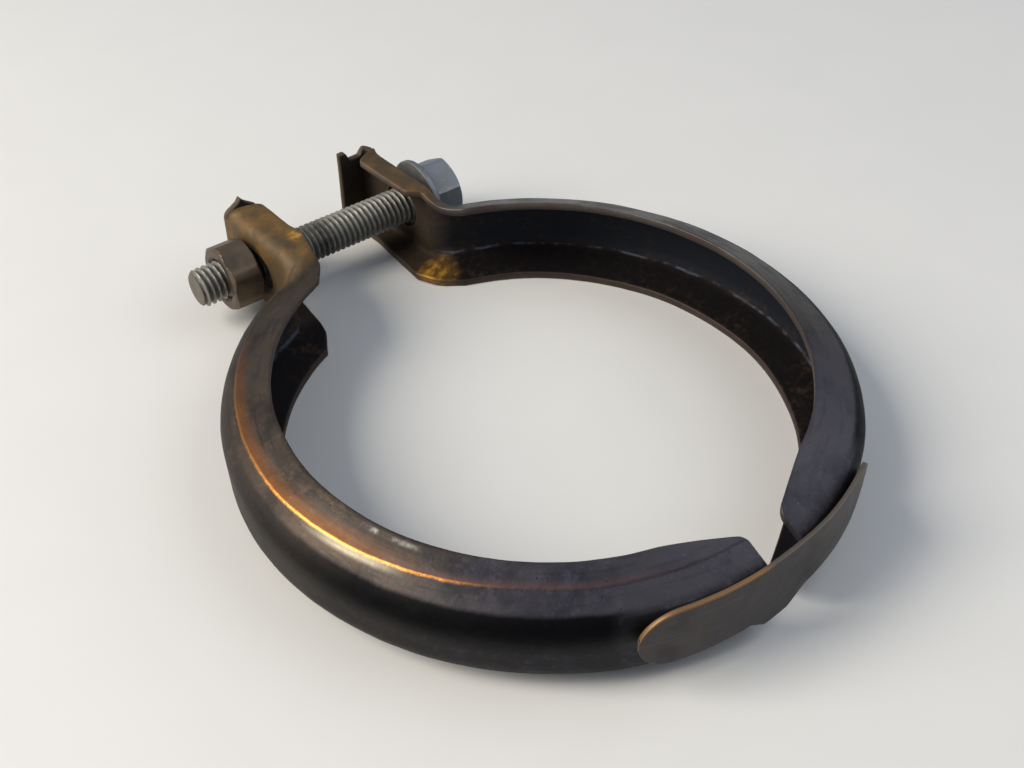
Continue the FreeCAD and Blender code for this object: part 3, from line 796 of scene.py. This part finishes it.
def flangeScrew():
    length = screw["length"]
    first, last = screw["threadRun"]
    count = round((length - first) / (screw["pitch"] / screw["threadRows"]))
    rows = [turnedRow(away - length, radius) for away, radius in screw["tip"]]
    rows += [turnedRow(along, threadRadius(along)) for along in steps(first - length, -last, count)]
    rows += [turnedRow(along, radius) for along, radius in screw["collar"]]

    # the flange: its rolled rim, then the cone up to the hexagon
    rim, edge, top = screw["flangeRadius"], screw["flangeRim"], screw["headHeight"]
    flat = screw["across"] / 2
    rise = math.tan(math.radians(screw["coneAngle"]))
    rows += [turnedRow(along, rim - inset) for along, inset in screw["rimEdge"]]
    rows += [turnedRow(edge + inset * rise, rim - inset) for inset in screw["cone"]]
    foot = edge + (rim - flat) * rise
    base = edge + (rim - flat / math.cos(math.radians(30))) * rise
    flare = [(base + up, extra) for up, extra in screw["foot"]] + [(foot, 0.0)]
    for along, extra in flare:
        rows.append(turnedRow(along, lambda angle, extra=extra: hexRadius(99)(angle) + extra))

    # the head, and the shallow dish in its top
    for along in (foot + 0.3, *screw["headRows"]):
        rows.append(turnedRow(along, hexRadius(chamferLimit(top - along))))
    dish, deep = screw["dishRadius"], screw["dish"]
    hollow = [(0.0, 6.0), (0.0, 5.2), (0.0, dish + 0.2), (0.06, dish), (0.3, dish - 0.18)]
    hollow += [(deep, radius) for radius in (dish - 0.5, 2.0, 0.01)]
    rows += [turnedRow(top - down, radius) for down, radius in hollow]
    piece = skin("screw.threaded", rows, capped=False)
    piece.data.set_sharp_from_angle(angle=math.radians(screw["sharp"]))
    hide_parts("screw")
    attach(piece, "screw")
    print("screw cut:", len(piece.data.polygons), "faces")
    return piece


def hexNut():
    face, height, bore, mouth = nut["face"], nut["height"], nut["bore"], nut["mouth"]
    corner = list(nut["cornerRows"])
    spots = corner + steps(1.3, height - 1.3, 6) + [height - d for d in reversed(corner)]
    rows = [turnedRow(face, nut["seat"]), turnedRow(face, nut["land"])]
    for away in spots:
        limit = chamferLimit(min(away, height - away), nut["chamferRadius"])
        rows.append(turnedRow(face - away, hexRadius(limit, nut["softening"])))
    rows += [turnedRow(face - height, radius) for radius in (nut["land"], nut["seat"])]
    rows.append(turnedRow(face - height + 0.1, mouth))
    rows += [turnedRow(face - height + away, bore) for away in steps(0.7, height - 0.7, 4)]
    rows.append(turnedRow(face - 0.1, mouth))
    piece = skin("nut.turned", rows, capped=False, ring=True)
    piece.data.set_sharp_from_angle(angle=math.radians(nut["sharp"]))
    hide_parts("nut")
    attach(piece, "nut")
    print("nut cut:", len(piece.data.polygons), "faces")
    return piece


shellTints = {
    "brown": (48, 41, 34),
    "slate": (35, 35, 41),
    "brownPlate": (72, 62, 52),
    "slatePlate": (70, 67, 72),
    "shadedPlate": (46, 40, 35),
    "farPlateSheen": (112, 108, 102),
    "burnt": (30, 26, 26),
    "tan": (92, 78, 62),
    "rust": (92, 70, 56),
    "streak": (34, 30, 32),
    "violet": (64, 65, 76),
    "blue": (80, 86, 114),
    "amber": (118, 70, 28),
    "rose": (104, 72, 64),
    "heatLineAndHighlight": (222, 146, 56),
    "shine": (176, 164, 142),
    "glint": (170, 168, 156),
    "soot": (9, 9, 11),
    "lowFoldHighlight": (104, 94, 80),
    "wedgeShade": (5, 5, 6),
    "ear": (94, 74, 44),
    "gilt": (136, 100, 44),
    "earRust": (58, 46, 38),
    "navy": (30, 34, 42),
    "black": (24, 20, 22),
    "innerRust": (62, 50, 38),
    "crease": (88, 98, 112),
    "bronze": (118, 86, 42),
    "gold": (214, 158, 62),
    "rim": (94, 80, 72),
    "speck": (20, 18, 18),
    "grain": (140, 130, 120),
    # the heat line's radius, heat tint with a painted highlight along it; from a turn of 50 degrees on it
    # closes in by this much per degree
    "lineRadius": 50.75,
    "lineTurn": 50,
    "lineFall": 0.038,
    # gold at each ear's corner, bronze tint with painted glints on it: its place in plan, where it starts
    # and is full, and its heights
    "goldGlintSpots": {1: ((14.5, 48.5), (6.0, 1.5), (6.0, 2.6)), -1: ((-11.5, 58.5), (3.0, 0.6), (16.0, 18.0))},
    "bump": 0.00038,
}


# places on a shell in millimetres and degrees, and the noises that every stain shares
def shellMarks(f, side):
    x, y, z = (axis * 1000 for axis in (f.x, f.y, f.z))
    r = (x * x + y * y).root()
    turn = (x * side).angleTo(0 - y) * (180 / math.pi)   # 0 at the strap, 180 between the ears
    return SimpleNamespace(
        x=x, y=y, z=z, r=r, turn=turn, side=side,
        inside=f.mark("inside"),
        edge=f.mark("edge"),
        patch=f.noise(75.0, 3.0, roughness=0.6),
        blotch=f.noise(260.0, 4.0, roughness=0.65),
        rust=f.noise(620.0, 4.0, roughness=0.7),
        streak=f.noise(1.0, 4.0, vector=f.join(r * 1.1, z * 1.1, turn * 0.1)),
        grain=f.noise(1500.0, 3.0),
        pits=f.cells(800.0),
        near=turn.rise(82.0, 38.0),                      # towards the strap
        top=z.rise(11.0, 14.0),
        ear=y.rise(47.0, 56.0),
        flange=r.rise(55.4, 53.6),
    )


# oxide brown away from the strap, slate and violet towards it, with painted light and shade laid on the
# flange and crown
def oxideAndPaintedLightCoat(f, m):
    tints = shellTints
    coat = f.mix(tone(tints["brown"]), tone(tints["slate"]), m.near)
    plate = f.mix(tone(tints["brownPlate"]), tone(tints["slatePlate"]), m.near)
    # painted shade: the flange's inner part darkened between turns of about 48 and 118 degrees
    shaded = m.r.rise(50.6, 49.6) * m.turn.rise(48.0, 62.0) * m.turn.rise(118.0, 100.0)
    plate = f.dye(plate, tints["shadedPlate"], shaded * 0.7)
    # painted reflection: on the far shell the flange is lightened where it is seen at a grazing angle
    if m.side > 0:
        plate = f.dye(plate, tints["farPlateSheen"], m.turn.rise(50.0, 105.0) * (1 - m.ear))
    # partly painted light and shade: the top-facing flange is laid lighter than the crown below it
    coat = f.mix(coat, plate, m.flange * m.top)
    coat = f.dye(coat, tints["burnt"], m.patch.rise(0.44, 0.64) * 0.7)
    coat = f.dye(coat, tints["tan"], m.blotch.rise(0.54, 0.72) * (0.3 + m.flange * 0.15))
    coat = f.dye(coat, tints["rust"], m.rust.rise(0.52, 0.7) * 0.35)
    coat = f.dye(coat, tints["streak"], m.streak.rise(0.52, 0.68) * (0.5 - m.near * 0.25))
    coat = f.dye(coat, tints["violet"], (m.patch + m.blotch).rise(0.92, 1.25) * m.near * 0.5)
    return f.dye(coat, tints["blue"], (m.patch * 0.4 + m.rust).rise(0.72, 0.92) * m.near * 0.2)


# heat tint along the crease in the front half's flange, with painted highlights and glints beside it
def heatTintAndHighlights(f, m, coat):
    tints = shellTints
    wobble = (m.patch - 0.5) * 0.5 + (m.rust - 0.5) * 0.3
    past = m.turn - tints["lineTurn"]
    m.away = past.sum("MAXIMUM", past, 0) * tints["lineFall"] + tints["lineRadius"] + wobble - m.r
    glow = m.away.rise(-0.15, 0.08) * m.away.rise(2.9, 0.3) * m.top
    amber = glow * m.turn.rise(58.0, 84.0) * m.turn.rise(146.0, 124.0)
    coat = f.dye(coat, tints["amber"], amber * (0.2 + m.blotch * 0.8))
    rose = glow * m.turn.rise(14.0, 34.0) * m.turn.rise(78.0, 58.0)
    coat = f.dye(coat, tints["rose"], rose * m.away.rise(1.5, 0.2) * (0.15 + m.rust * 0.6))
    faded = m.turn.rise(112.0, 88.0) * 0.7 + m.turn.rise(140.0, 112.0) * 0.3
    # the bright line along the crease: partly heat tint, partly a painted highlight
    m.line = m.away.band(0.05, 0.34) * m.top * m.turn.rise(46.0, 66.0) * faded
    coat = f.dye(coat, tints["heatLineAndHighlight"], m.line * (0.3 + m.rust * 0.9))
    # painted highlight: a light sheen laid just outside the crease line
    m.shine = (m.away + 0.55).band(0.0, 0.8) * m.top * m.turn.rise(64.0, 72.0) * m.turn.rise(90.0, 78.0)
    coat = f.dye(coat, tints["shine"], m.shine * (m.blotch * 0.6 + m.rust * 0.4))
    # painted highlight: light glints near the flange's free edge
    glint = m.r.band(48.1, 0.55) * m.top * m.turn.rise(62.0, 69.0) * m.turn.rise(80.0, 74.0)
    return f.dye(coat, tints["glint"], glint * (m.blotch + m.rust).rise(0.84, 1.25) * 0.6)


# painted shade along the shoulder, a painted highlight along the fold low on the crown, and black painted
# shade in the wedge beside the strap
def sootCoat(f, m, coat):
    tints = shellTints
    # painted shade: the shoulder and crown darkened from about 26 to 124 degrees from the strap, most near
    # the top
    reach = m.turn.rise(26.0, 33.0) * m.turn.rise(124.0, 66.0) * (m.z.rise(8.0, 12.5) * 0.7 + 0.3)
    m.soot = (m.r + m.blotch * 0.8).rise(54.3, 55.2) * reach
    coat = f.dye(coat, tints["soot"], m.soot * (0.8 + m.patch * 0.25))
    # painted highlight: a light line along the fold low on the crown
    lowFoldHighlight = (m.z - m.patch * 0.8).band(4.1, 0.5) * m.r.rise(53.0, 55.0) * m.turn.rise(56.0, 70.0)
    coat = f.dye(coat, tints["lowFoldHighlight"], lowFoldHighlight * (1 - m.ear) * m.rust.rise(0.4, 0.6) * 0.6)
    # painted shade: black in the wedge beside the strap
    return f.dye(coat, tints["wedgeShade"], m.r.rise(54.9, 55.4) * m.turn.rise(30.5, 27.5) * m.z.rise(10.0, 12.0))


# golden brown on the ears
def earCoat(f, m, coat):
    tints = shellTints
    coat = f.dye(coat, tints["ear"], m.ear * (0.5 + m.patch * 0.4) * (1 - m.inside * 0.5))
    gilt = m.ear * m.top * (m.blotch * 0.6 + m.patch).rise(0.66, 1.0)
    coat = f.dye(coat, tints["gilt"], gilt * 0.5 * (1 - m.inside))
    return f.dye(coat, tints["earRust"], m.ear * m.rust.rise(0.54, 0.72) * 0.5)


# the sheet's inner face painted dark as shade, navy above and black below, with a painted highlight along
# the crease between, and the gold at the ear's corner, its own bronze tint with painted glints on it
def innerCoat(f, m, coat):
    tints = shellTints
    # painted shade: the inner face laid dark, darker towards the bottom, with real rust patches on it
    dark = f.mix(tone(tints["navy"]), tone(tints["black"]), m.z.rise(5.4, 4.2))
    rusted = m.rust.rise(0.45, 0.7) * (m.patch.rise(0.45, 0.6) * 0.7 + 0.1)
    dark = f.dye(dark, tints["innerRust"], rusted)
    coat = f.mix(coat, dark, m.inside * (1 - m.ear * 0.7) * 0.95)
    # painted highlight: a thin light line along the inner crease
    crease = (m.z + m.patch).band(4.5, 0.26) * m.inside * m.r.rise(52.0, 53.4) * (1 - m.ear)
    coat = f.dye(coat, tints["crease"], crease * (m.blotch + m.patch).rise(0.86, 1.12) * 0.7)
    (cx, cy), reach, heights = tints["goldGlintSpots"][m.side]
    dx, dy = m.x - cx, m.y - cy
    m.spot = (dx * dx + dy * dy).root().rise(*reach) * m.z.rise(*heights)
    # the bronze is the corner's own tint; the bright gold laid over it in broken patches is painted glints
    coat = f.dye(coat, tints["bronze"], m.spot * 0.8)
    return f.dye(coat, tints["gold"], m.spot * (m.rust * 0.5 + m.blotch * 0.7).rise(0.52, 0.78))


# cut edges worn, pits and specks
def wornCoat(f, m, coat):
    tints = shellTints
    coat = f.dye(coat, tints["rim"], m.edge.rise(0.34, 0.08) * (0.2 + m.blotch * 0.6))
    m.speck = m.pits.rise(0.2, 0.08) * m.blotch.rise(0.46, 0.62)
    coat = f.dye(coat, tints["speck"], m.speck * 0.6)
    return f.dye(coat, tints["grain"], m.grain.rise(0.66, 0.8) * m.flange * (1 - m.inside) * 0.25)


def shellFinish(name, side):
    f = Finish(name, 0.8, 0.4)
    m = shellMarks(f, side)
    coat = oxideAndPaintedLightCoat(f, m)
    if side < 0:
        coat = heatTintAndHighlights(f, m, coat)
    for layer in (sootCoat, earCoat, innerCoat, wornCoat):
        coat = layer(f, m, coat)
    rough = 0.36 + m.blotch * 0.16 + m.rust * 0.16 + m.inside * 0.16 + (1 - m.flange) * 0.1 - m.spot * 0.14
    height = m.patch * 0.5 + m.blotch * 0.3 + m.rust * 0.12 + m.streak * 0.1
    height = height + m.grain * 0.05 - m.speck * 0.06
    if side < 0:
        rough = rough - m.line * 0.14 - m.shine * 0.06
        ridge = m.away.rise(-0.35, 0.25) * 0.5                      # the flange's crease
        lap = (m.r - 49.4).rise(0.5, -0.4) * m.turn.rise(56.0, 66.0) * m.turn.rise(98.0, 86.0) * 0.3
        height = height + (ridge + lap) * m.top
    metal = 1 - (0.5 - m.flange * 0.3) * (1 - m.soot * 0.85) * (1 - m.inside * 0.4)
    bump = f.bump(height, shellTints["bump"], 0.65)
    return f.wear(Base_Color=coat, Roughness=rough, Metallic=metal, Normal=bump)


strapTints = {
    "plum": (66, 62, 62),
    "grey": (84, 77, 70),
    "blue": (66, 64, 72),
    "burnt": (50, 44, 42),
    "drawn": (112, 98, 80),
    "gold": (164, 112, 44),
    "rim": (122, 108, 92),
}


def strapFinish():
    f = Finish("strapSteel", 0.7, 0.5)
    x, z = f.x * 1000, f.z * 1000
    edge = f.mark("edge")
    patch = f.noise(80.0, 3.0, roughness=0.6)
    blotch = f.noise(330.0, 4.0, roughness=0.65)
    drawn = f.noise(90.0, 3.0, vector=f.join(f.x * 0.6, f.y * 0.6, f.z * 14))
    tints = strapTints
    coat = f.mix(tone(tints["plum"]), tone(tints["grey"]), x.rise(-4.0, 14.0) * 0.7 + patch * 0.2)
    coat = f.dye(coat, tints["blue"], blotch.rise(0.48, 0.64) * 0.6)
    coat = f.dye(coat, tints["burnt"], patch.rise(0.5, 0.68) * 0.6)
    coat = f.dye(coat, tints["drawn"], drawn.rise(0.56, 0.76) * 0.3)
    gold = edge.rise(0.5, 0.2) * z.rise(12.0, 15.0) * x.rise(-5.0, -9.0)
    coat = f.dye(coat, tints["gold"], gold * (0.4 + blotch * 0.5))
    coat = f.dye(coat, tints["rim"], edge.rise(0.3, 0.06) * 0.4)
    rough = 0.4 + blotch * 0.25
    height = patch * 0.4 + blotch * 0.3 + drawn * 0.12
    bump = f.bump(height, 0.0003, 0.6)
    return f.wear(Base_Color=coat, Roughness=rough, Metallic=0.6 + patch * 0.2, Normal=bump)


# distance along the screw's axis from the seat, and out from it, in millimetres
def screwPlace(f):
    lean = math.radians(screw["skew"])
    sx, sy, sz = screw["seat"]
    dx, dy, dz = f.x * 1000 - sx, f.y * 1000 - sy, f.z * 1000 - sz
    along = dx * math.cos(lean) - dy * math.sin(lean)
    across = dx * math.sin(lean) + dy * math.cos(lean)
    return along, (across * across + dz * dz).root()


zincTints = {
    "thread": (134, 132, 124),
    "head": (120, 124, 130),
    "dull": (118, 112, 100),
    "bright": (160, 160, 152),
    "root": (70, 64, 56),
    "soot": (36, 34, 32),
    "shadow": (24, 21, 19),
    "tip": (92, 84, 72),
    # along the axis: the sooty stretch of thread, and the dark one behind the nut
    "sootyRun": (-24.5, 3.6),
    "behindNut": (-39.3, 2.2),
}


def zincFinish():
    f = Finish("zincSteel", 0.8, 0.5)
    along, out = screwPlace(f)
    patch = f.noise(120.0, 3.0, roughness=0.6)
    blotch = f.noise(480.0, 4.0, roughness=0.65)
    head = along.rise(-0.4, 0.2)
    tints = zincTints
    coat = f.mix(tone(tints["thread"]), tone(tints["head"]), head)
    coat = f.dye(coat, tints["dull"], patch.rise(0.44, 0.64) * 0.55)
    coat = f.dye(coat, tints["bright"], blotch.rise(0.54, 0.7) * 0.4)
    root = out.rise(3.6, 3.3) * (1 - head)
    coat = f.dye(coat, tints["root"], root * 0.75)
    sooty = along.band(*tints["sootyRun"]) * (1 - head)
    coat = f.dye(coat, tints["soot"], sooty * blotch.rise(0.3, 0.6) * 0.6)
    coat = f.dye(coat, tints["shadow"], along.band(*tints["behindNut"]) * 0.9)
    coat = f.dye(coat, tints["tip"], along.rise(-51.7, -52.5) * 0.8)
    rough = 0.42 + blotch * 0.22
    height = patch * 0.3 + blotch * 0.4
    bump = f.bump(height, 0.0002, 0.6)
    return f.wear(Base_Color=coat, Roughness=rough, Metallic=0.75 - root * 0.4, Normal=bump)


nutTints = {
    "tan": (98, 82, 64),
    "brown": (76, 65, 58),
    "blue": (82, 82, 92),
    "bore": (40, 34, 30),
    "corner": (112, 94, 72),
}


def nutFinish():
    f = Finish("brownedNutSteel", 0.8, 0.4)
    along, out = screwPlace(f)
    patch = f.noise(130.0, 3.0, roughness=0.6)
    blotch = f.noise(480.0, 4.0, roughness=0.65)
    tints = nutTints
    coat = f.mix(tone(tints["tan"]), tone(tints["brown"]), patch.rise(0.42, 0.62))
    coat = f.dye(coat, tints["blue"], blotch.rise(0.54, 0.7) * 0.5)
    coat = f.dye(coat, tints["bore"], out.rise(4.6, 4.1) * 0.8)
    coat = f.dye(coat, tints["corner"], out.rise(6.6, 7.2) * 0.35)
    rough = 0.34 + blotch * 0.2
    height = patch * 0.4 + blotch * 0.3
    bump = f.bump(height, 0.0002, 0.5)
    return f.wear(Base_Color=coat, Roughness=rough, Metallic=0.75 - patch * 0.1, Normal=bump)


pieces = [
    (pressedShell("rear_shell", "rear_half", 1.0, False), shellFinish("rearHeatStainedSteel", 1)),
    (pressedShell("front_shell", "front_half", 2.0, True), shellFinish("frontHeatStainedSteel", -1)),
    (hingeStrap(), strapFinish()),
    (flangeScrew(), zincFinish()),
    (hexNut(), nutFinish()),
]
for piece, finish in pieces:
    piece.data.materials.append(finish)
print("finishes laid on")
